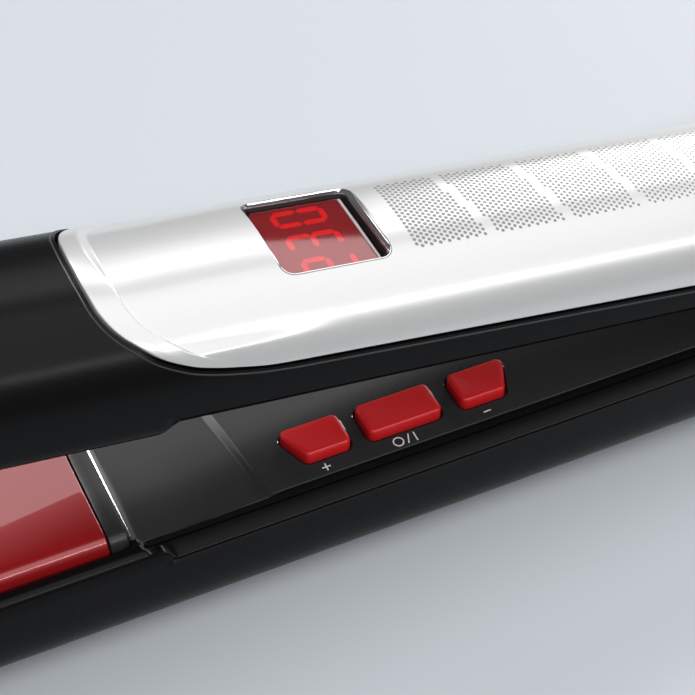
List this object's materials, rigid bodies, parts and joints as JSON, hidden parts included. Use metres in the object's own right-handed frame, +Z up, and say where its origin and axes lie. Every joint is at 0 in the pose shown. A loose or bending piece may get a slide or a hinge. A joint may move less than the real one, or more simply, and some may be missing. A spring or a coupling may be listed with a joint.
{
  "type": "hair straightener",
  "caption": "Hinged hair straightener with sprung heating plates, push buttons, a lit read-out and a swivelling cord collar.",
  "frame": {"origin": "under the middle of the iron's length, on the surface that its flat belly lies on", "axes": "+X along the lower arm towards the tail and the cord, +Y to the left side seen from the nose, +Z up"},
  "size_m": [0.289, 0.0364, 0.0725],
  "materials": {
    "black_shell": "satin black moulded plastic with a very fine grain",
    "black_panel": "satin black moulded plastic",
    "silver_cover": "pearl silver lacquer over plastic, satin gloss",
    "chrome_bezel": "polished plated bezel",
    "red_glass": "red tinted clear window, polished",
    "red_plate": "dark red glossy ceramic coating over aluminium",
    "red_button": "satin red moulded plastic",
    "spring_steel": "bright spring steel",
    "zinc_screw": "zinc plated steel",
    "ceramic": "off-white fired ceramic",
    "circuit_board": "green solder mask over glass laminate",
    "capacitor_red": "dipped capacitor case",
    "display_digits": "lit red segments",
    "white_print": "white pad print"
  },
  "bodies": {
    "lower_arm": {"lower_outer_shell": "black_shell", "lower_inner_panel": "black_panel", "lower_plate_carrier": "black_panel", "lower_end_bridge": "black_panel", "lower_panel_screw_left": "zinc_screw", "lower_panel_screw_right": "zinc_screw", "switch_plus": "black_panel", "switch_power": "black_panel", "switch_minus": "black_panel", "button_board": "circuit_board", "control_board": "circuit_board", "mains_capacitor": "capacitor_red", "triac": "black_panel", "hinge_pin": "zinc_screw", "hinge_cap_left": "black_panel", "hinge_cap_right": "black_panel", "lower_plate_spring_front": "spring_steel", "lower_plate_spring_rear": "spring_steel"},
    "upper_arm": {"upper_housing": "black_shell", "silver_cover": "silver_cover", "display_bezel": "chrome_bezel", "display_lens": "red_glass", "display_module": "black_panel", "display_board": "circuit_board", "hinge_spring": "spring_steel", "upper_inner_panel": "black_panel", "upper_plate_carrier": "black_panel", "upper_end_bridge": "black_panel", "upper_panel_screw_left": "zinc_screw", "upper_panel_screw_right": "zinc_screw", "upper_plate_spring_front": "spring_steel", "upper_plate_spring_rear": "spring_steel"},
    "lower_plate_block": {"lower_plate": "red_plate", "lower_heater": "ceramic", "lower_heater_clip": "spring_steel", "lower_thermistor": "ceramic", "thermal_cutoff": "zinc_screw"},
    "upper_plate_block": {"upper_plate": "red_plate", "upper_heater": "ceramic", "upper_heater_clip": "spring_steel", "upper_thermistor": "ceramic"},
    "button_plus": {"button_plus": "red_button"},
    "button_power": {"button_power": "red_button"},
    "button_minus": {"button_minus": "red_button"},
    "cord_collar": {"cord_collar": "black_panel", "cord_collar_ring": "zinc_screw"}
  },
  "joints": [
    {"name": "arm_hinge", "type": "hinge", "parent": "lower_arm", "child": "upper_arm", "pos_m": [0.1045, 0, 0.0197], "axis": [0, 1, 0], "range_deg": [-8.6, 0], "stiffness_Nm_per_rad": 1.2, "springref_deg": 17.19, "deforming": ["hinge_spring"]},
    {"name": "lower_plate_float", "type": "slide", "parent": "lower_arm", "child": "lower_plate_block", "axis": [0, 0, -1], "range_m": [0, 0.001], "stiffness_N_per_m": 2000, "springref_m": -0.001, "deforming": ["lower_plate_spring_front", "lower_plate_spring_rear"]},
    {"name": "upper_plate_float", "type": "slide", "parent": "upper_arm", "child": "upper_plate_block", "axis": [0.1495, 0, 0.9888], "range_m": [0, 0.001], "stiffness_N_per_m": 2000, "springref_m": -0.001, "deforming": ["upper_plate_spring_front", "upper_plate_spring_rear"]},
    {"name": "press_plus", "type": "slide", "parent": "lower_arm", "child": "button_plus", "axis": [0, 0, -1], "range_m": [0, 0.0006], "stiffness_N_per_m": 400, "springref_m": -0.0008},
    {"name": "press_power", "type": "slide", "parent": "lower_arm", "child": "button_power", "axis": [0, 0, -1], "range_m": [0, 0.0006], "stiffness_N_per_m": 400, "springref_m": -0.0008},
    {"name": "press_minus", "type": "slide", "parent": "lower_arm", "child": "button_minus", "axis": [0, 0, -1], "range_m": [0, 0.0006], "stiffness_N_per_m": 400, "springref_m": -0.0008},
    {"name": "cord_swivel", "type": "hinge", "parent": "lower_arm", "child": "cord_collar", "pos_m": [0.1385, 0, 0.0197], "axis": [1, 0, 0], "continuous": true}
  ]
}
